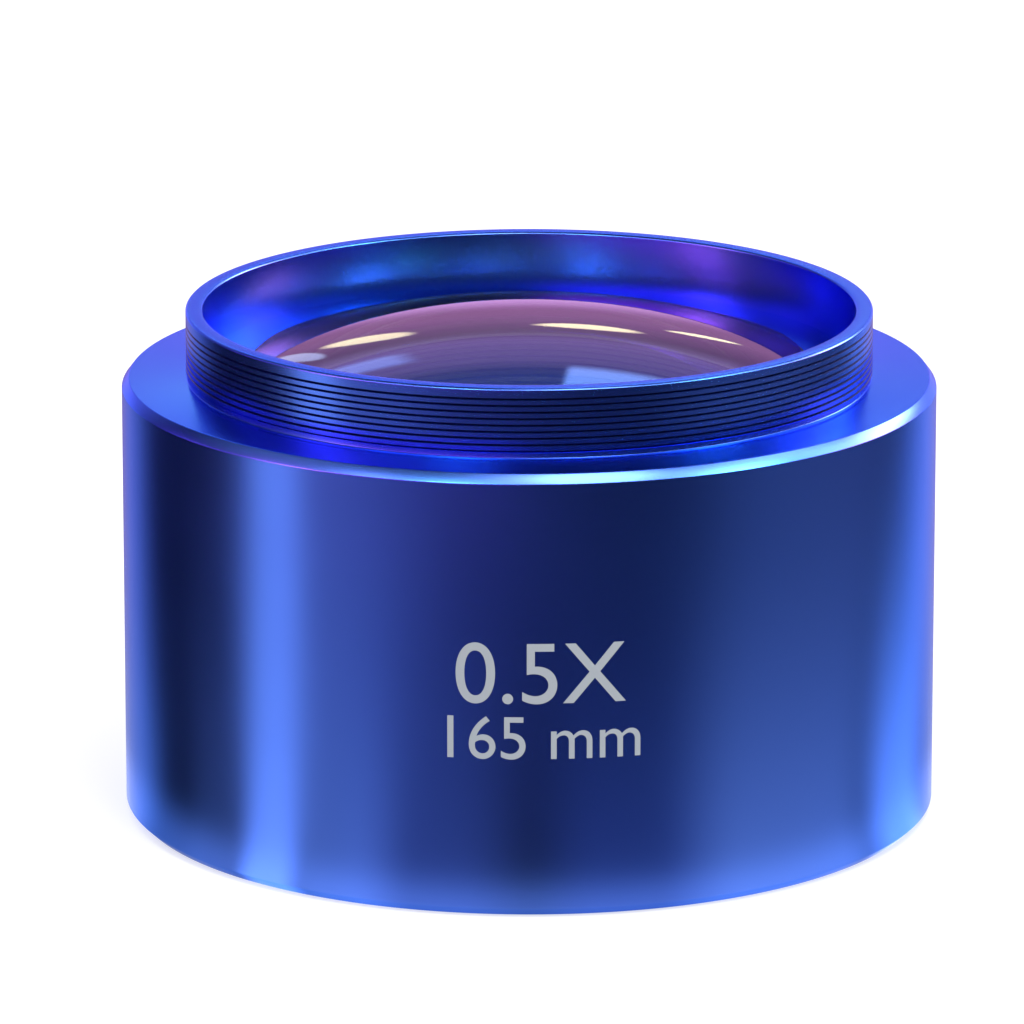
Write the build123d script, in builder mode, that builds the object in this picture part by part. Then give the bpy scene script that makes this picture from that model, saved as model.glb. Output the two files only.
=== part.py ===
from build123d import *
import os
from math import sqrt

# Auxiliary barlow lens for a stereo microscope, in millimetres.
# +Z runs along the optical axis towards the microscope. The origin is the centre of the foot face.
# A turned housing screws into the microscope by its nose. A cemented pair of lens elements goes in from
# below: the upper one rises through the opening of a ledge inside the nose, the wider lower one seats
# under it, and a slotted ring holds them there. The long bore below the ring is the lens's shade.

# Nose of the housing: the mounting thread's crest outside, and a straight well inside from the rim down to
# the ledge that the lens rises through
thread_diameter = 48.0
nose_length = 4.85
rim_width = 1.20
rim_bevel = 0.12
ledge_depth = 4.10
ledge_width = 3.20

# Body of the housing, below the shoulder that the nose stands on
shoulder_width = 4.50
body_height = 30.95
shoulder_bevel_width = 0.50
shoulder_bevel_height = 0.65
foot_bevel_width = 0.70
foot_bevel_height = 0.65

# Lens elements. The top face bulges up to just under the rim, and the lower face is hollow.
crown_depth = 0.63
top_face_radius = 61.3
cemented_face_radius = 295.0
hollow_face_radius = 32.8
upper_edge_height = 2.45
lower_thickness = 2.6
seat_width = 1.90
lens_foot_width = 3.10
lens_bevel = 0.30
cement_film = 0.02
lens_clearance = 0.05

# Retaining ring under the lens, and the threaded stretch of the bore that it screws into
ring_thickness = 3.0
ring_bearing = 2.60
ring_step = 0.95
ring_bevel = 0.30
ring_mouth_bevel = 0.80
ring_thread_clearance = 0.05
thread_relief = 0.60
thread_run = 2.50
slot_count = 2
slot_width = 2.20
slot_depth = 1.30

# Shade bore below the ring
shade_step = 1.50
shade_bevel = 0.80


def sag(sphere_radius, distance):
    """Depth of a spherical face at a distance from the optical axis."""
    return sphere_radius - sqrt(sphere_radius**2 - distance**2)


# Radii of the nose and body, from the thread
thread_radius = thread_diameter / 2
body_radius = thread_radius + shoulder_width
mouth_radius = thread_radius - rim_width
opening_radius = mouth_radius - ledge_width

# Radii of the lens cell, from the ledge's opening outwards
upper_radius = opening_radius - lens_clearance
lens_radius = opening_radius + seat_width
hollow_edge_radius = lens_radius - lens_foot_width
ring_inner_radius = lens_radius - ring_bearing
pocket_radius = lens_radius + lens_clearance
ring_bore_radius = pocket_radius + ring_step
ring_outer_radius = ring_bore_radius - ring_thread_clearance
shade_radius = ring_bore_radius + shade_step

# Heights, from the rim downwards
rim_z = body_height + nose_length
ledge_z = rim_z - ledge_depth
apex_z = rim_z - crown_depth
upper_edge_z = apex_z - sag(top_face_radius, upper_radius)
upper_foot_z = upper_edge_z - upper_edge_height
cemented_z = upper_foot_z + sag(cemented_face_radius, upper_radius)
lower_top_z = cemented_z - cement_film
seat_z = lower_top_z - sag(cemented_face_radius, opening_radius)
lower_edge_z = lower_top_z - sag(cemented_face_radius, lens_radius)
hollow_z = lower_top_z - lower_thickness
lens_foot_z = hollow_z - sag(hollow_face_radius, hollow_edge_radius)
ring_bore_z = lens_foot_z + thread_relief
ring_foot_z = lens_foot_z - ring_thickness
thread_end_z = ring_foot_z - thread_run

# One-piece housing, turned from bar: its half section spun about the optical axis
with BuildPart() as housing:
    with BuildSketch(Plane.XZ):
        with BuildLine():
            Polyline(
                (shade_radius, 0),
                (body_radius - foot_bevel_width, 0),
                (body_radius, foot_bevel_height),
                (body_radius, body_height - shoulder_bevel_height),
                (body_radius - shoulder_bevel_width, body_height),
                (thread_radius, body_height),
                (thread_radius, rim_z),
                (mouth_radius, rim_z),
                (mouth_radius, ledge_z),
                (opening_radius, ledge_z),
                (opening_radius, seat_z),
                (pocket_radius, seat_z),
                (pocket_radius, ring_bore_z),
                (ring_bore_radius, ring_bore_z),
                (ring_bore_radius, thread_end_z),
                (shade_radius, thread_end_z),
                close=True,
            )
        make_face()
    revolve(axis=Axis.Z)
    rims = housing.faces().filter_by(Axis.Z).sort_by(Axis.Z)
    chamfer(rims[-1].edges(), length=rim_bevel)
    shade_mouth = rims[0].edges().sort_by(SortBy.LENGTH)[0]
    chamfer(shade_mouth, length=shade_bevel)
housing.part.label = "housing"

# Upper lens element: dense glass, bulging on top and almost flat below, with ground edge bevels
with BuildPart() as upper_element:
    with BuildSketch(Plane.XZ):
        with BuildLine():
            top_face = RadiusArc(
                (0, apex_z),
                (upper_radius, upper_edge_z),
                top_face_radius,
            )
            lower_face = RadiusArc(
                (0, cemented_z),
                (upper_radius, upper_foot_z),
                cemented_face_radius,
            )
            Line(top_face @ 1, lower_face @ 1)
            Line(lower_face @ 0, top_face @ 0)
        make_face()
    revolve(axis=Axis.Z)
    chamfer(upper_element.edges().filter_by(lambda edge: edge.is_closed), length=lens_bevel)
upper_element.part.label = "upper_element"

# Lower lens element: light glass, cemented under the upper one and wider than it, so that its rim seats
# under the ledge. It has a deep hollow and a flat foot.
with BuildPart() as lower_element:
    with BuildSketch(Plane.XZ):
        with BuildLine():
            joined_face = RadiusArc(
                (0, lower_top_z),
                (lens_radius, lower_edge_z),
                cemented_face_radius,
            )
            hollow_face = RadiusArc(
                (0, hollow_z),
                (hollow_edge_radius, lens_foot_z),
                hollow_face_radius,
            )
            Polyline(joined_face @ 1, (lens_radius, lens_foot_z), hollow_face @ 1)
            Line(hollow_face @ 0, joined_face @ 0)
        make_face()
    revolve(axis=Axis.Z)
    ground_edges = lower_element.edges().filter_by(lambda edge: edge.is_closed)
    chamfer(ground_edges.group_by(SortBy.LENGTH)[-1], length=lens_bevel)
lower_element.part.label = "lower_element"

# Retaining ring: screwed up against the lens's foot, with slots across its lower face for a spanner
with BuildPart() as retaining_ring:
    with BuildSketch(Plane.XY.offset(ring_foot_z)):
        Circle(ring_outer_radius)
        Circle(ring_inner_radius, mode=Mode.SUBTRACT)
    extrude(amount=ring_thickness)
    lower_edges = retaining_ring.faces().sort_by(Axis.Z)[0].edges().sort_by(SortBy.LENGTH)
    chamfer(lower_edges[0], length=ring_mouth_bevel)
    chamfer(lower_edges[-1], length=ring_bevel)
    with BuildSketch(Plane.XY.offset(ring_foot_z)):
        with PolarLocations((ring_inner_radius + ring_outer_radius) / 2, slot_count):
            Rectangle(2 * (ring_outer_radius - ring_inner_radius), slot_width)
    extrude(amount=slot_depth, mode=Mode.SUBTRACT)
retaining_ring.part.label = "retaining_ring"

os.makedirs("parts", exist_ok=True)
export_step(housing.part, "parts/housing.step")
export_step(upper_element.part, "parts/upper_element.step")
export_step(lower_element.part, "parts/lower_element.step")
export_step(retaining_ring.part, "parts/retaining_ring.step")
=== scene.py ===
import math

import bpy
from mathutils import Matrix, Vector


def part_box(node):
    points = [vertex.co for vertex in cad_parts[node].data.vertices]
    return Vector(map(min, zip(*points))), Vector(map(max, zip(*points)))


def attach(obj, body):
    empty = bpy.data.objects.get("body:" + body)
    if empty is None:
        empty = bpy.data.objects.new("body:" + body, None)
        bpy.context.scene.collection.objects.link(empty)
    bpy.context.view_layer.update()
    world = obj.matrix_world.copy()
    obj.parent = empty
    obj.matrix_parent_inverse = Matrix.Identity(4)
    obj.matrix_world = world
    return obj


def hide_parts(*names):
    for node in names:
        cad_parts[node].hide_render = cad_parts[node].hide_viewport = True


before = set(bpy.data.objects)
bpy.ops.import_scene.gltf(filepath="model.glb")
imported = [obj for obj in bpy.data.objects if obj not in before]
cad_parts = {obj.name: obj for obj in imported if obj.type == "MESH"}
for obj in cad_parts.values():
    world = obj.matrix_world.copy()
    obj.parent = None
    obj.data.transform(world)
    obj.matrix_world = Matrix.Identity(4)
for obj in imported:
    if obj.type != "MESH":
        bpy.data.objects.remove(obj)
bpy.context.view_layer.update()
mm = 0.001

# Camera: a long lens at the photograph's distance, a little above the shoulder and square to the marked
# front. It stands apart from the object and belongs to the picture only.
camera = bpy.data.objects.new("camera", bpy.data.cameras.new("camera"))
bpy.context.scene.collection.objects.link(camera)
camera.data.sensor_width = 36
camera.data.lens = 308.175
camera.data.clip_start = 0.05
camera.location = Vector((-0.1426, -595.4233, 178.5597)) * mm
aim = Vector((-1.1992, 0, 20.8911)) * mm
camera.rotation_euler = (aim - camera.location).to_track_quat("-Z", "Y").to_euler()
bpy.context.scene.camera = camera
bpy.context.scene.view_settings.view_transform = "Standard"


# Housing: one piece turned from aluminium bar, its edges broken, then anodised bright blue all over.
# The nose carries the mounting thread outside and a straight well inside, with a ledge at its bottom that
# the lens rises through. Below it the bore is painted black, threaded for the ring and finely grooved.
def draw_section(name, points):
    """A new mesh with a turned section's closed outline. A point is radius, height and edge rounding."""
    bpy.ops.object.select_all(action="DESELECT")
    bpy.ops.mesh.primitive_plane_add(size=mm)
    piece = bpy.context.object
    piece.name = piece.data.name = name
    bpy.ops.object.mode_set(mode="EDIT")
    bpy.ops.mesh.merge(type="CENTER")
    place = Vector((0, 0, 0))
    for radius, height, _ in points[:1]:
        place = Vector((radius, 0, height))
        bpy.ops.transform.translate(value=place)
    for radius, height, _ in points[1:] + points[:1]:
        step = Vector((radius, 0, height)) - place
        bpy.ops.mesh.extrude_region_move(TRANSFORM_OT_translate={"value": step})
        place = place + step
    bpy.ops.mesh.select_all(action="SELECT")
    bpy.ops.mesh.remove_doubles(threshold=0.001 * mm)
    for rounding in sorted({p[2] for p in points if p[2]}):
        bpy.ops.mesh.select_all(action="DESELECT")
        bpy.ops.object.mode_set(mode="OBJECT")
        corners = [Vector((p[0], 0, p[1])) for p in points if p[2] == rounding]
        for v in piece.data.vertices:
            v.select = any((v.co - corner).length < 0.002 * mm for corner in corners)
        bpy.ops.object.mode_set(mode="EDIT")
        bpy.ops.mesh.bevel(offset=rounding, segments=3, affect="VERTICES")
    bpy.ops.object.mode_set(mode="OBJECT")
    return piece


def turn(piece, steps=360):
    """Spins a drawn section about the optical axis, as a lathe would cut it."""
    bpy.ops.object.mode_set(mode="EDIT")
    bpy.ops.mesh.select_all(action="SELECT")
    bpy.ops.mesh.spin(steps=steps, angle=2 * math.pi, center=(0, 0, 0), axis=(0, 0, 1))
    bpy.ops.mesh.select_all(action="SELECT")
    bpy.ops.mesh.remove_doubles(threshold=0.001 * mm)
    bpy.ops.mesh.normals_make_consistent(inside=False)
    bpy.ops.object.mode_set(mode="OBJECT")


def thread_cutter(name, radius, depth, pitch, turns, first_angle, first_height, outside):
    """A long helical wedge that cuts a right-hand thread and runs out of the metal at both ends."""
    overcut = 0.15 * mm
    half_angle = math.radians(30)
    steps_in_turn = 240
    fade = 50
    tip = radius - depth if outside else radius + depth
    back = radius + overcut if outside else radius - overcut
    half_width = (depth + overcut) * math.tan(half_angle)
    cutter = draw_section(name, [(tip, 0, 0), (back, half_width, 0), (back, -half_width, 0)])
    screw = cutter.modifiers.new("screw", "SCREW")
    screw.angle = 2 * math.pi * turns
    screw.screw_offset = pitch * turns
    screw.steps = screw.render_steps = int(steps_in_turn * turns)
    screw.use_normal_calculate = True
    bpy.ops.object.modifier_apply(modifier="screw")
    stations = len(cutter.data.vertices) // 3
    for v in cutter.data.vertices:
        station = v.index // 3
        near_end = min(station, stations - 1 - station)
        if near_end < fade:
            lift = (1 - near_end / fade) * (depth + 0.05 * mm)
            grow = lift if outside else -lift
            flat = Vector((v.co.x, v.co.y, 0))
            v.co += flat.normalized() * grow
    bpy.ops.object.mode_set(mode="EDIT")
    bpy.ops.mesh.select_all(action="SELECT")
    bpy.ops.mesh.fill_holes(sides=0)
    bpy.ops.mesh.normals_make_consistent(inside=False)
    bpy.ops.object.mode_set(mode="OBJECT")
    cutter.location.z = first_height
    cutter.rotation_euler.z = first_angle
    bpy.ops.object.transform_apply(location=True, rotation=True, scale=True)
    return cutter


def cut(piece, cutter):
    """Takes the cutter's shape out of a piece and removes the cutter."""
    bpy.ops.object.select_all(action="DESELECT")
    bpy.context.view_layer.objects.active = piece
    piece.select_set(True)
    boolean = piece.modifiers.new("cut", "BOOLEAN")
    boolean.operation = "DIFFERENCE"
    boolean.solver = "EXACT"
    boolean.object = cutter
    bpy.ops.object.modifier_apply(modifier="cut")
    bpy.data.objects.remove(cutter)


body_radius = 28.49 * mm
body_height = 30.95 * mm
rim_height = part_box("housing")[1].z
thread_radius = 24 * mm
neck_radius = 23.92 * mm
mouth_radius = 22.8 * mm
opening_radius = 19.6 * mm
ledge_height = 31.7 * mm
seat_height = 29.496 * mm
cell_radius = 21.55 * mm
cell_foot = 22.5 * mm
ring_bore_radius = 22.5 * mm
ring_bore_foot = 16.4 * mm
shade_radius = 24 * mm
rim_bevel = 0.12 * mm
bevel_height = 0.65 * mm
foot_bevel_width = 0.7 * mm
shoulder_bevel_width = 0.5 * mm
shade_bevel = 0.8 * mm
neck_top = body_height + 0.37 * mm
thread_foot = body_height + 0.45 * mm

housing_section = [
    (shade_radius + shade_bevel, 0, 0.06 * mm),
    (body_radius - foot_bevel_width, 0, 0.06 * mm),
    (body_radius, bevel_height, 0.08 * mm),
    (body_radius, body_height - bevel_height, 0.05 * mm),
    (body_radius - shoulder_bevel_width, body_height, 0.05 * mm),
    (neck_radius, body_height, 0.08 * mm),
    (neck_radius, neck_top, 0),
    (thread_radius, thread_foot, 0),
    (thread_radius, rim_height - rim_bevel, 0.04 * mm),
    (thread_radius - rim_bevel, rim_height, 0.04 * mm),
    (mouth_radius + rim_bevel, rim_height, 0.04 * mm),
    (mouth_radius, rim_height - rim_bevel, 0.04 * mm),
    (mouth_radius, ledge_height, 0),
    (opening_radius, ledge_height, 0.05 * mm),
    (opening_radius, seat_height, 0.03 * mm),
    (cell_radius, seat_height, 0.1 * mm),
    (cell_radius, cell_foot, 0.05 * mm),
    (ring_bore_radius, cell_foot, 0.1 * mm),
    (ring_bore_radius, ring_bore_foot, 0.1 * mm),
    (shade_radius, ring_bore_foot, 0.05 * mm),
]
groove_count = 15
groove_pitch = 0.9 * mm
groove_depth = 0.25 * mm
groove_half_width = 0.22 * mm
top_groove = 15.4 * mm
for groove in range(groove_count):
    middle = top_groove - groove * groove_pitch
    housing_section += [
        (shade_radius, middle + groove_half_width, 0),
        (shade_radius + groove_depth, middle, 0),
        (shade_radius, middle - groove_half_width, 0),
    ]
housing_section.append((shade_radius, shade_bevel, 0.05 * mm))

housing = draw_section("housing_turned", housing_section)
turn(housing)
# the nose's thread starts behind the object and first passes the middle of the front 31.42 mm up
nose_pitch = 0.4525 * mm
nose_thread_depth = 0.15 * mm
turns_to_front = 0.45
nose_thread_start = -math.pi / 2 - 2 * math.pi * turns_to_front
nose_thread_height = 31.42 * mm - turns_to_front * nose_pitch
cut(housing, thread_cutter("nose_thread", thread_radius, nose_thread_depth, nose_pitch, 8.9,
                           nose_thread_start, nose_thread_height, True))
ring_pitch = 0.75 * mm
ring_thread_depth = 0.3 * mm
cut(housing, thread_cutter("ring_thread", ring_bore_radius, ring_thread_depth, ring_pitch, 7.4,
                           0, ring_bore_foot + 0.2 * mm, False))
bpy.ops.object.shade_smooth_by_angle(angle=math.radians(28))


math_node = "ShaderNodeMath"
vector_node = "ShaderNodeVectorMath"


def wire(tree, kind, operation, *values):
    """A math node fed by sockets or numbers, and its output."""
    node = tree.nodes.new(kind)
    node.operation = operation
    for socket, value in zip(node.inputs, values):
        if isinstance(value, bpy.types.NodeSocket):
            tree.links.new(value, socket)
        else:
            socket.default_value = value
    return node.outputs[0]


def noise(tree, vector, scale, detail):
    """Noise between 0 and 1 over a vector."""
    node = tree.nodes.new("ShaderNodeTexNoise")
    tree.links.new(vector, node.inputs["Vector"])
    node.inputs["Scale"].default_value = scale
    node.inputs["Detail"].default_value = detail
    return node.outputs["Fac"]


def new_finish():
    """Surface of a turned piece, anodised or painted: tool lines round the axis, grain and cloudiness."""
    group = bpy.data.node_groups.new("turned_finish", "ShaderNodeTree")
    for name in ("Lines", "Grain", "Roughness", "Cloudiness"):
        group.interface.new_socket(name, in_out="INPUT", socket_type="NodeSocketFloat")
    for name in ("Height", "Roughness", "Cloud"):
        group.interface.new_socket(name, in_out="OUTPUT", socket_type="NodeSocketFloat")
    given = group.nodes.new("NodeGroupInput").outputs
    result = group.nodes.new("NodeGroupOutput").inputs
    place = group.nodes.new("ShaderNodeTexCoord").outputs["Object"]
    split = group.nodes.new("ShaderNodeSeparateXYZ")
    group.links.new(place, split.inputs["Vector"])
    flat = group.nodes.new("ShaderNodeCombineXYZ")
    group.links.new(split.outputs["X"], flat.inputs["X"])
    group.links.new(split.outputs["Y"], flat.inputs["Y"])
    reach = group.nodes.new(vector_node)
    reach.operation = "LENGTH"
    group.links.new(flat.outputs["Vector"], reach.inputs[0])
    path = group.nodes.new("ShaderNodeCombineXYZ")
    group.links.new(reach.outputs["Value"], path.inputs["X"])
    group.links.new(split.outputs["Z"], path.inputs["Z"])
    lines = noise(group, path.outputs["Vector"], 7000, 2)
    grain = noise(group, place, 9000, 2)
    cloud = noise(group, place, 130, 3)
    cut_lines = wire(group, math_node, "MULTIPLY", lines, given["Lines"])
    rough_grain = wire(group, math_node, "MULTIPLY", grain, given["Grain"])
    height = wire(group, math_node, "ADD", cut_lines, rough_grain)
    group.links.new(height, result["Height"])
    drift = wire(group, math_node, "SUBTRACT", cloud, 0.5)
    drift = wire(group, math_node, "MULTIPLY", drift, given["Cloudiness"])
    roughness = wire(group, math_node, "ADD", given["Roughness"], drift)
    group.links.new(roughness, result["Roughness"])
    group.links.new(cloud, result["Cloud"])
    return group


def turned_material(name, colour, metallic, roughness, cloudiness, lines, grain):
    """A material with the turned finish. Lines and grain are depths in metres."""
    material = bpy.data.materials.new(name)
    material.use_nodes = True
    nodes, links = material.node_tree.nodes, material.node_tree.links
    shader = nodes["Principled BSDF"]
    shader.inputs["Base Color"].default_value = (*colour, 1)
    shader.inputs["Metallic"].default_value = metallic
    finish = nodes.new("ShaderNodeGroup")
    finish.node_tree = turned_finish
    finish.inputs["Lines"].default_value = lines
    finish.inputs["Grain"].default_value = grain
    finish.inputs["Roughness"].default_value = roughness
    finish.inputs["Cloudiness"].default_value = cloudiness
    bump = nodes.new("ShaderNodeBump")
    bump.inputs["Distance"].default_value = 1
    links.new(finish.outputs["Height"], bump.inputs["Height"])
    links.new(bump.outputs["Normal"], shader.inputs["Normal"])
    links.new(finish.outputs["Roughness"], shader.inputs["Roughness"])
    return material


turned_finish = new_finish()
blue_anodised = turned_material("blue_anodised", (0.084, 0.188, 0.749), 1, 0.25, 0.05, 1.2e-6, 1.0e-6)
blue_shader = blue_anodised.node_tree.nodes["Principled BSDF"]
blue_shader.inputs["Specular Tint"].default_value = (0.44, 0.555, 0.91, 1)
bore_paint = turned_material("bore_paint", (0.012, 0.012, 0.013), 0, 0.8, 0.15, 2e-6, 4e-6)
# painted shade: a darker blue for the thread's grooves, standing in for the shade in their recesses
groove_painted_shade = turned_material("groove_painted_shade", (0.015, 0.035, 0.2), 1, 0.4, 0.1, 2e-6, 2e-6)
for material in (blue_anodised, bore_paint, groove_painted_shade):
    housing.data.materials.append(material)
# the paint covers the ledge's opening and the bore below it, down to the bevel at the foot, and the
# thread's grooves get a darker blue as painted shade in their recesses
slack = 0.05 * mm
bore_paint_foot = 0.9 * mm
bore_paint_top = seat_height + 0.1 * mm
groove_floor = thread_radius - 0.25 * mm
groove_mouth = thread_radius - 0.04 * mm
for face in housing.data.polygons:
    reach = math.hypot(face.center.x, face.center.y)
    height = face.center.z
    in_opening = reach < opening_radius + 0.04 * mm
    in_bore = reach < shade_radius + groove_depth + slack and bore_paint_foot < height < bore_paint_top
    in_groove = groove_floor < reach < groove_mouth
    if in_opening or in_bore:
        face.material_index = 1
    # painted shade: the thread's grooves take the darker blue
    elif in_groove and thread_foot + 0.01 * mm < height < rim_height - rim_bevel:
        face.material_index = 2
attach(housing, "root")
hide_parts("housing")


# Upper lens element: dense glass with polished faces and a mauve coating on the bulging one. Its edge is
# ground and blackened. It is cemented to the lower element and rises through the ledge's opening.
def face_arc(top, sphere_radius, edge, count):
    """Points down a spherical face, from the axis to its edge."""
    points = []
    for i in range(count + 1):
        r = edge * math.sin(math.pi / 2 * i / count)
        points.append((r, top - sphere_radius + math.sqrt(sphere_radius**2 - r * r), 0))
    return points


def lens_glass(name, index, film, film_index):
    """Polished glass with a thin coating, open to the lamps for the shadows behind it."""
    material = bpy.data.materials.new(name)
    material.use_nodes = True
    nodes, links = material.node_tree.nodes, material.node_tree.links
    glass = nodes["Principled BSDF"]
    glass.inputs["Base Color"].default_value = (0.98, 0.98, 0.97, 1)
    glass.inputs["Roughness"].default_value = 0
    glass.inputs["IOR"].default_value = index
    glass.inputs["Transmission Weight"].default_value = 1
    glass.inputs["Thin Film Thickness"].default_value = film
    glass.inputs["Thin Film IOR"].default_value = film_index
    open_to_lamps = nodes.new("ShaderNodeBsdfTransparent")
    open_to_lamps.inputs["Color"].default_value = (0.9, 0.9, 0.9, 1)
    path = nodes.new("ShaderNodeLightPath")
    choose = nodes.new("ShaderNodeMixShader")
    links.new(path.outputs["Is Shadow Ray"], choose.inputs["Fac"])
    links.new(glass.outputs["BSDF"], choose.inputs[1])
    links.new(open_to_lamps.outputs["BSDF"], choose.inputs[2])
    links.new(choose.outputs["Shader"], nodes["Material Output"].inputs["Surface"])
    return material


def finish_lens(piece, top, bottom, is_ground):
    """Gives a lens its two polished faces and the black paint on its ground edge."""
    for material in (top, bottom, edge_paint):
        piece.data.materials.append(material)
    for face in piece.data.polygons:
        if is_ground(face):
            face.material_index = 2
        elif face.normal.z < 0:
            face.material_index = 1


apex_height = 35.17 * mm
bulge_radius = 61.3 * mm
cemented_height = 30.1675 * mm
cemented_face_radius = 295 * mm
upper_radius = 19.55 * mm
edge_bevel = 0.3 * mm
upper_top = face_arc(apex_height, bulge_radius, upper_radius - edge_bevel, 48)
upper_bottom = face_arc(cemented_height, cemented_face_radius, upper_radius - edge_bevel, 30)
upper_edge = [
    (upper_radius, upper_top[-1][1] - edge_bevel, 0.03 * mm),
    (upper_radius, upper_bottom[-1][1] + edge_bevel, 0),
]
upper = draw_section("upper_element_ground", upper_top + upper_edge + upper_bottom[::-1])
turn(upper)
bpy.ops.object.shade_smooth_by_angle(angle=math.radians(28))

coated_glass = lens_glass("coated_glass", 1.8, 397, 1.4)
edge_paint = turned_material("edge_paint", (0.012, 0.012, 0.013), 0, 0.7, 0.1, 0, 5e-6)
cement = bpy.data.materials.new("cemented_face")
cement.use_nodes = True
nodes = cement.node_tree.nodes
clear = nodes.new("ShaderNodeBsdfTransparent")
cement.node_tree.links.new(clear.outputs["BSDF"], nodes["Material Output"].inputs["Surface"])
finish_lens(upper, coated_glass, cement,
            lambda face: math.hypot(*face.center.xy) > upper_radius - edge_bevel)
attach(upper, "root")
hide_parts("upper_element")

# Lower lens element: light glass, wider than the upper one so that it seats under the ledge. It is hollow
# below, with a ground flat foot for the ring.
lens_radius = 21.5 * mm
lens_foot = 21.9 * mm
cement_film = 0.02 * mm
hollow_height = 27.5475 * mm
hollow_face_radius = 32.8 * mm
hollow_reach = 18.4 * mm
lower_top = face_arc(cemented_height - cement_film, cemented_face_radius, lens_radius - edge_bevel, 30)
lower_edge = [
    (lens_radius, lower_top[-1][1] - edge_bevel, 0),
    (lens_radius, lens_foot + edge_bevel, 0),
    (lens_radius - edge_bevel, lens_foot, 0),
]
hollow = face_arc(hollow_height, hollow_face_radius, hollow_reach, 48)
lower = draw_section("lower_element_ground", lower_top + lower_edge + hollow[::-1])
turn(lower)
bpy.ops.object.shade_smooth_by_angle(angle=math.radians(28))
clear_glass = lens_glass("clear_glass", 1.52, 300, 1.38)


def lower_is_ground(face):
    """Whether a face belongs to the rim, its bevels or the foot, outside the polished faces."""
    polished_reach = hollow_reach + 0.02 * mm if face.normal.z < 0 else opening_radius
    return math.hypot(*face.center.xy) > polished_reach


finish_lens(lower, cement, clear_glass, lower_is_ground)
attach(lower, "root")
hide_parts("lower_element")

# Retaining ring: turned from aluminium, threaded outside and anodised matt black. Two slots across its
# lower face take the spanner that screws it up against the lens's foot.
ring_outer = 22.45 * mm
ring_inner = 18.9 * mm
ring_foot = 18.9 * mm
ring_bevel = 0.3 * mm
ring_mouth_bevel = 0.8 * mm
ring_rounding = 0.05 * mm
slot_width = 2.2 * mm
slot_depth = 1.3 * mm
ring = draw_section("retaining_ring_slotted", [
    (ring_inner, lens_foot, ring_rounding),
    (ring_inner, ring_foot + ring_mouth_bevel, ring_rounding),
    (ring_inner + ring_mouth_bevel, ring_foot, ring_rounding),
    (ring_outer - ring_bevel, ring_foot, ring_rounding),
    (ring_outer, ring_foot + ring_bevel, ring_rounding),
    (ring_outer, lens_foot, ring_rounding),
])
turn(ring, 240)
bpy.ops.object.select_all(action="DESELECT")
slot_size = (60 * mm, slot_width, 2 * slot_depth)
bpy.ops.mesh.primitive_cube_add(size=1, scale=slot_size, location=(0, 0, ring_foot))
slot_bar = bpy.context.object
cut(ring, slot_bar)
cut(ring, thread_cutter("ring_outside", ring_outer, ring_thread_depth, ring_pitch, 4.6,
                        0, ring_foot - 0.2 * mm, True))
bpy.ops.object.shade_smooth_by_angle(angle=math.radians(28))
black_anodised = turned_material("black_anodised", (0.03, 0.03, 0.033), 0, 0.45, 0.08, 2.5e-6, 1.5e-6)
ring.data.materials.append(black_anodised)
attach(ring, "root")
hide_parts("retaining_ring")

# Marking: the magnification and the working distance, engraved through the blue anodising in the front of
# the body. It lies flush with the metal and shows silver grey.
marking_material = turned_material("marking", (0.31, 0.34, 0.375), 0, 0.6, 0.1, 0, 6e-6)


def engrave(name, words, size, base):
    """A line of words wrapped round the front of the body, its foot at a height above the floor."""
    strip_width = 0.4 * mm
    bpy.ops.object.select_all(action="DESELECT")
    bpy.ops.object.text_add()
    text = bpy.context.object
    text.data.body = words
    text.data.size = size
    text.data.align_x = "CENTER"
    text.data.extrude = marking_depth
    bpy.ops.object.convert(target="MESH")
    piece = bpy.context.object
    piece.name = piece.data.name = name
    piece.rotation_euler.x = math.pi / 2
    piece.location = (marking_middle, 0, base)
    bpy.ops.object.transform_apply(location=True, rotation=True, scale=True)
    bpy.ops.object.mode_set(mode="EDIT")
    reach = max(abs(v.co.x) for v in piece.data.vertices) + mm
    x = -reach
    while x < reach:
        bpy.ops.mesh.select_all(action="SELECT")
        bpy.ops.mesh.bisect(plane_co=(x, 0, 0), plane_no=(1, 0, 0))
        x += strip_width
    bpy.ops.object.mode_set(mode="OBJECT")
    for v in piece.data.vertices:
        angle = v.co.x / wrap_radius
        r = marking_radius - v.co.y
        v.co = (r * math.sin(angle), -r * math.cos(angle), v.co.z)
    piece.data.materials.append(marking_material)
    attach(piece, "root")


marking_middle = 0.72 * mm
marking_depth = 0.015 * mm
wrap_radius = 28.5 * mm
marking_radius = 28.4815 * mm
engrave("marking_magnification", "0.5X", 6.1 * mm, 15.1 * mm)
engrave("marking_distance", "165 mm", 4.3 * mm, 11.2 * mm)

# Studio: a white backdrop with soft boxes round it, a white floor and one round lamp over the right
# shoulder. Reflections see the soft boxes, and everything else sees plain white surroundings.
def direction_angles(tree, vector):
    """Azimuth from the camera's side and elevation of a direction, in radians."""
    split = tree.nodes.new("ShaderNodeSeparateXYZ")
    tree.links.new(vector, split.inputs["Vector"])
    forward = wire(tree, math_node, "MULTIPLY", split.outputs["Y"], -1.0)
    azimuth = wire(tree, math_node, "ARCTAN2", split.outputs["X"], forward)
    return azimuth, wire(tree, math_node, "ARCSINE", split.outputs["Z"])


def new_light_group(name, sockets):
    """An empty group for one kind of light, the sockets that feed it and the one for its light."""
    group = bpy.data.node_groups.new(name, "ShaderNodeTree")
    for socket in sockets:
        group.interface.new_socket(socket, in_out="INPUT", socket_type="NodeSocketFloat")
    group.interface.new_socket("Colour", in_out="INPUT", socket_type="NodeSocketColor")
    group.interface.new_socket("Light", in_out="OUTPUT", socket_type="NodeSocketColor")
    entry, leave = group.nodes.new("NodeGroupInput"), group.nodes.new("NodeGroupOutput")
    return group, entry.outputs, leave.inputs["Light"]


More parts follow.
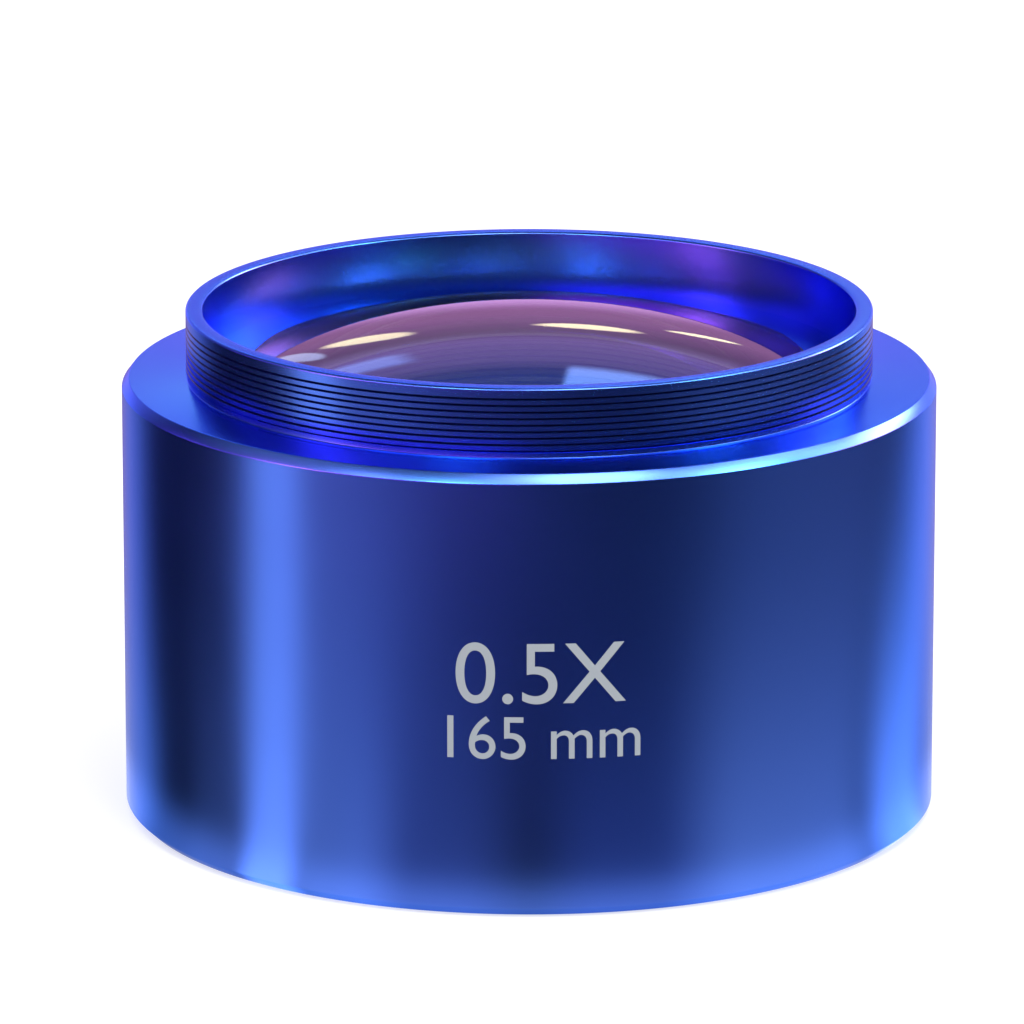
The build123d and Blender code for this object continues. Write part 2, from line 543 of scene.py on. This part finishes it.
def fall_off(group, value, near, far):
    """1 below the near value, 0 beyond the far one, smooth between them."""
    node = group.nodes.new("ShaderNodeMapRange")
    node.interpolation_type = "SMOOTHSTEP"
    for socket, source in zip(("Value", "From Min", "From Max"), (value, near, far)):
        if isinstance(source, bpy.types.NodeSocket):
            group.links.new(source, node.inputs[socket])
        else:
            node.inputs[socket].default_value = source
    node.inputs["To Min"].default_value = 1
    node.inputs["To Max"].default_value = 0
    return node.outputs["Result"]


# a soft box is a patch of the sky with soft sides
box_names = ("Side", "Height", "Half width", "Half height", "Softness across", "Softness up")
soft_box, given, light = new_light_group("soft_box", ("Azimuth", "Elevation") + box_names)
apart = wire(soft_box, math_node, "SUBTRACT", given["Azimuth"], given["Side"])
apart = wire(soft_box, math_node, "WRAP", apart, math.pi, -math.pi)
apart = wire(soft_box, math_node, "ABSOLUTE", apart)
near = wire(soft_box, math_node, "SUBTRACT", given["Half width"], given["Softness across"])
far = wire(soft_box, math_node, "ADD", given["Half width"], given["Softness across"])
across = fall_off(soft_box, apart, near, far)
apart = wire(soft_box, math_node, "SUBTRACT", given["Elevation"], given["Height"])
apart = wire(soft_box, math_node, "ABSOLUTE", apart)
near = wire(soft_box, math_node, "SUBTRACT", given["Half height"], given["Softness up"])
far = wire(soft_box, math_node, "ADD", given["Half height"], given["Softness up"])
upright = fall_off(soft_box, apart, near, far)
shape = wire(soft_box, math_node, "MULTIPLY", across, upright)
shine = soft_box.nodes.new(vector_node)
shine.operation = "SCALE"
soft_box.links.new(given["Colour"], shine.inputs["Vector"])
soft_box.links.new(shape, shine.inputs["Scale"])
soft_box.links.new(shine.outputs["Vector"], light)

# a tube is a long oval of light that may slope
tube_names = ("Side", "Height", "Half length", "Half height", "Slope")
tube, given, light = new_light_group("tube", ("Azimuth", "Elevation") + tube_names)
along = wire(tube, math_node, "SUBTRACT", given["Azimuth"], given["Side"])
along = wire(tube, math_node, "WRAP", along, math.pi, -math.pi)
rise = wire(tube, math_node, "MULTIPLY", along, given["Slope"])
above = wire(tube, math_node, "SUBTRACT", given["Elevation"], given["Height"])
above = wire(tube, math_node, "SUBTRACT", above, rise)
along = wire(tube, math_node, "DIVIDE", along, given["Half length"])
above = wire(tube, math_node, "DIVIDE", above, given["Half height"])
along = wire(tube, math_node, "MULTIPLY", along, along)
above = wire(tube, math_node, "MULTIPLY", above, above)
oval = wire(tube, math_node, "ADD", along, above)
shine = tube.nodes.new(vector_node)
shine.operation = "SCALE"
tube.links.new(given["Colour"], shine.inputs["Vector"])
tube.links.new(fall_off(tube, oval, 0.45, 1.15), shine.inputs["Scale"])
tube.links.new(shine.outputs["Vector"], light)


def add_lights(tree, total, group, azimuth, elevation, names, lights):
    """Adds lights of one kind to a sum of colours. Angles come in degrees, the last value is the colour."""
    for values in lights:
        node = tree.nodes.new("ShaderNodeGroup")
        node.node_tree = group
        tree.links.new(azimuth, node.inputs["Azimuth"])
        tree.links.new(elevation, node.inputs["Elevation"])
        for name, value in zip(names, values):
            node.inputs[name].default_value = value if name == "Slope" else math.radians(value)
        node.inputs["Colour"].default_value = (*values[-1], 1)
        total = wire(tree, vector_node, "ADD", total, node.outputs["Light"])
    return total


def grey(level):
    """A colour without a tint."""
    return (level, level, level)


world = bpy.data.worlds.new("studio")
bpy.context.scene.world = world
world.use_nodes = True
world.cycles.sampling_method = "NONE"
tree = world.node_tree
nodes, links = tree.nodes, tree.links
background = nodes["Background"]
where = nodes.new("ShaderNodeTexCoord")
azimuth, elevation = direction_angles(tree, where.outputs["Generated"])
room = (0.012, 0.013, 0.03)
# round the object: the left soft box and its spill, weak fills, the bright lights that the bevels show
room = add_lights(tree, room, soft_box, azimuth, elevation, box_names, [
    (-75.5, -36, 8.5, 40, 2, 12, grey(1.15)),
    (-56, -36, 20, 40, 22, 12, (0.28, 0.28, 0.36)),
    (-20, -22, 35, 40, 30, 12, (0.06, 0.06, 0.1)),
    (-75, 46, 42, 14, 22, 14, grey(0.45)),
    (90, -36, 32, 40, 22, 12, (0.16, 0.165, 0.2)),
    (80, 47, 30, 9, 12, 6, grey(3.7)),
    (128, 24, 11, 6, 6, 4, (17, 12, 9)),
    (150, -26, 14, 30, 14, 10, grey(0.8)),
    (-152, -24, 12, 28, 10, 10, grey(0.5)),
    (-12, 58, 14, 12, 14, 10, grey(1.2)),
    (0, 60, 12, 8, 8, 8, (3.2, 2.5, 2.2)),
    (137, 20, 6, 4, 5, 3, (14, 10, 8)),
    (50, -36, 20, 40, 12, 12, (0.03, 0.035, 0.05)),
])
# coloured lights that show inside the nose, where its wall mirrors the lens and the ledge
room = add_lights(tree, room, soft_box, azimuth, elevation, box_names, [
    (72, 39, 9, 5, 5, 4, (9, 25, 16)),
    (-26, 43, 8, 6, 5, 5, (11, 23, 16)),
    (-79, 29, 8, 5, 6, 5, (9, 2.0, 6)),
    (-54, 42, 9, 7, 8, 6, (4.5, 4, 5)),
    (104, 30, 10, 8, 8, 6, (4.4, 5, 5.5)),
])
# low round the object: violet lights that the nose, the shoulder and the ledge show each other
room = add_lights(tree, room, soft_box, azimuth, elevation, box_names, [
    (-104, 15, 16, 7, 12, 6, (1.1, 0.3, 1.5)),
    (-68, 15, 8, 7, 6, 6, (15, 2.5, 6)),
    (-34, 15, 26, 7, 12, 6, (3, 0.1, 2.4)),
    (90, 15, 20, 7, 12, 6, (0.4, 0.05, 0.4)),
    (115, 15, 12, 6, 7, 5, (15, 4, 4)),
])
# behind the object: the backdrop, brighter towards the top, with the openings between its lights
backdrop = add_lights(tree, grey(0), soft_box, azimuth, elevation, box_names, [
    (180, -5, 40, 25, 14, 8, (0.5, 0.22, 0.42)),
    (180, 3, 40, 6, 14, 5, (0.77, 0.55, 1.15)),
    (180, 23, 40, 11.5, 14, 3, (0.42, 0.33, 0.55)),
    (180, 29, 40, 5.5, 14, 2.5, (0.65, 0.6, 1.0)),
    (180, 42, 40, 7, 14, 3, (0.3, 0.5, 1.3)),
    (-170, 28, 2.5, 1.8, 1, 0.8, (0.8, 1.8, 2.3)),
    (173.5, 41, 3.6, 6.5, 0.4, 1.2, (2.6, 4.6, 5.0)),
])
backdrop = add_lights(tree, backdrop, tube, azimuth, elevation, tube_names, [
    (-172.9, 17.6, 2.0, 1.9, -0.5, (3.8, 4.8, 1.7)),
    (177.3, 18.8, 2.6, 1.2, 0.0, (4.8, 6.0, 2.1)),
    (172.9, 14.9, 1.5, 0.75, 0.5, (4.0, 5.4, 2.0)),
    (-169.6, 17.8, 0.8, 3.4, 0.0, (1.2, 2.2, 2.1)),
])
# the glass lets only the room through, and the backdrop shows by reflection alone
path = nodes.new("ShaderNodeLightPath")
kept = wire(tree, math_node, "SUBTRACT", 1.0, path.outputs["Is Transmission Ray"])
seen = nodes.new(vector_node)
seen.operation = "SCALE"
links.new(backdrop, seen.inputs["Vector"])
links.new(kept, seen.inputs["Scale"])
studio = wire(tree, vector_node, "ADD", room, seen.outputs["Vector"])
plain = wire(tree, math_node, "MAXIMUM", path.outputs["Is Camera Ray"], path.outputs["Is Diffuse Ray"])
shown = nodes.new("ShaderNodeMixRGB")
links.new(plain, shown.inputs["Fac"])
links.new(studio, shown.inputs["Color1"])
shown.inputs["Color2"].default_value = (1, 1, 1, 1)
links.new(shown.outputs["Color"], background.inputs["Color"])

bpy.ops.object.select_all(action="DESELECT")
bpy.ops.mesh.primitive_circle_add(vertices=96, radius=3, fill_type="NGON")
floor = bpy.context.object
floor.name = "floor"
floor_gap = 0.02 * mm
floor.location.z = -floor_gap
floor_material = bpy.data.materials.new("floor")
floor_material.use_nodes = True
tree = floor_material.node_tree
nodes, links = tree.nodes, tree.links
nodes.remove(nodes["Principled BSDF"])
paper = nodes.new("ShaderNodeBsdfDiffuse")
paper.inputs["Color"].default_value = (0.5, 0.5, 0.5, 1)
glow = nodes.new("ShaderNodeEmission")
seen = nodes.new("ShaderNodeAddShader")
links.new(paper.outputs["BSDF"], seen.inputs[0])
links.new(glow.outputs["Emission"], seen.inputs[1])
# painted light: pools of light glowing on the floor, which only reflections see; the object's sides mirror
# them and they fade away from the object
place = nodes.new("ShaderNodeTexCoord")
split = nodes.new("ShaderNodeSeparateXYZ")
links.new(place.outputs["Object"], split.inputs["Vector"])
forward = wire(tree, math_node, "MULTIPLY", split.outputs["Y"], -1.0)
azimuth = wire(tree, math_node, "ARCTAN2", split.outputs["X"], forward)
measure = nodes.new(vector_node)
measure.operation = "LENGTH"
links.new(place.outputs["Object"], measure.inputs[0])
distance = measure.outputs["Value"]
under_bore = wire(tree, math_node, "LESS_THAN", distance, shade_radius)
beside_bore = wire(tree, math_node, "SUBTRACT", 1.0, under_bore)
links.new(wire(tree, math_node, "MULTIPLY", beside_bore, 0.62), glow.inputs["Strength"])
from_wall = wire(tree, math_node, "SUBTRACT", distance, body_radius)
# the pools fan out from the body as its wall mirrors them
fan = wire(tree, math_node, "DIVIDE", body_radius, distance)
fan = wire(tree, math_node, "SUBTRACT", 2.0, fan)
azimuth = wire(tree, math_node, "MULTIPLY", azimuth, 2.0)
azimuth = wire(tree, math_node, "DIVIDE", azimuth, fan)
azimuth = wire(tree, math_node, "MINIMUM", azimuth, math.pi)
azimuth = wire(tree, math_node, "MAXIMUM", azimuth, -math.pi)
# painted light: a bright rim of floor glowing close by the body, which the body's foot mirrors
glow_reach = 9 * mm
edge_glow = nodes.new("ShaderNodeMapRange")
edge_glow.interpolation_type = "SMOOTHERSTEP"
links.new(from_wall, edge_glow.inputs["Value"])
edge_glow.inputs["From Min"].default_value = 0
edge_glow.inputs["From Max"].default_value = glow_reach
edge_glow.inputs["To Min"].default_value = 0.65
edge_glow.inputs["To Max"].default_value = 0.05
pools = add_lights(tree, grey(0), soft_box, azimuth, azimuth, box_names, [
    (-80, 0, 9, 900, 5, 1, grey(1.75)),
    (-103, 0, 12, 900, 7, 1, grey(0.15)),
    (-56, 0, 14, 900, 10, 1, grey(0.55)),
    (-30, 0, 22, 900, 12, 1, (0.18, 0.18, 0.25)),
    (30, 0, 22, 900, 12, 1, (0.12, 0.13, 0.22)),
    (82, 0, 32, 900, 14, 1, grey(0.72)),
    (138, 0, 16, 900, 10, 1, grey(2.0)),
    (180, 0, 34, 900, 16, 1, grey(0.9)),
])
# painted light: the floor's glow for reflections, from the pools and the rim by the foot
painted_pool_glow = nodes.new("ShaderNodeEmission")
near_edge = nodes.new("ShaderNodeCombineXYZ")
for axis in "XYZ":
    links.new(edge_glow.outputs["Result"], near_edge.inputs[axis])
links.new(wire(tree, vector_node, "ADD", pools, near_edge.outputs["Vector"]), painted_pool_glow.inputs["Color"])
pool_reach = 45 * mm
fade = wire(tree, math_node, "DIVIDE", from_wall, -pool_reach)
fade = wire(tree, math_node, "EXPONENT", fade)
nothing = nodes.new("ShaderNodeBsdfTransparent")
mirrored = nodes.new("ShaderNodeMixShader")
links.new(wire(tree, math_node, "MINIMUM", fade, 1.0), mirrored.inputs["Fac"])
links.new(nothing.outputs["BSDF"], mirrored.inputs[1])
links.new(painted_pool_glow.outputs["Emission"], mirrored.inputs[2])
path = nodes.new("ShaderNodeLightPath")
by_ray = nodes.new("ShaderNodeMixShader")
links.new(path.outputs["Is Glossy Ray"], by_ray.inputs["Fac"])
links.new(seen.outputs["Shader"], by_ray.inputs[1])
links.new(mirrored.outputs["Shader"], by_ray.inputs[2])
side = nodes.new("ShaderNodeNewGeometry")
from_below = nodes.new("ShaderNodeMixShader")
links.new(side.outputs["Backfacing"], from_below.inputs["Fac"])
links.new(by_ray.outputs["Shader"], from_below.inputs[1])
links.new(nothing.outputs["BSDF"], from_below.inputs[2])
links.new(from_below.outputs["Shader"], nodes["Material Output"].inputs["Surface"])
floor.data.materials.append(floor_material)


def lamp(name, side, height, distance, width, power):
    """A round soft lamp that faces the object, placed by its azimuth from the camera and its elevation."""
    aim_height = 25 * mm
    light = bpy.data.lights.new(name, "AREA")
    light.shape = "DISK"
    light.size = width
    light.energy = power
    piece = bpy.data.objects.new(name, light)
    bpy.context.scene.collection.objects.link(piece)
    a, e = math.radians(side), math.radians(height)
    direction = Vector((math.sin(a) * math.cos(e), -math.cos(a) * math.cos(e), math.sin(e)))
    piece.location = direction * distance + Vector((0, 0, aim_height))
    piece.rotation_euler = (-direction).to_track_quat("-Z", "Y").to_euler()


lamp("key_lamp", 26, 58, 0.6, 0.26, 1.4)
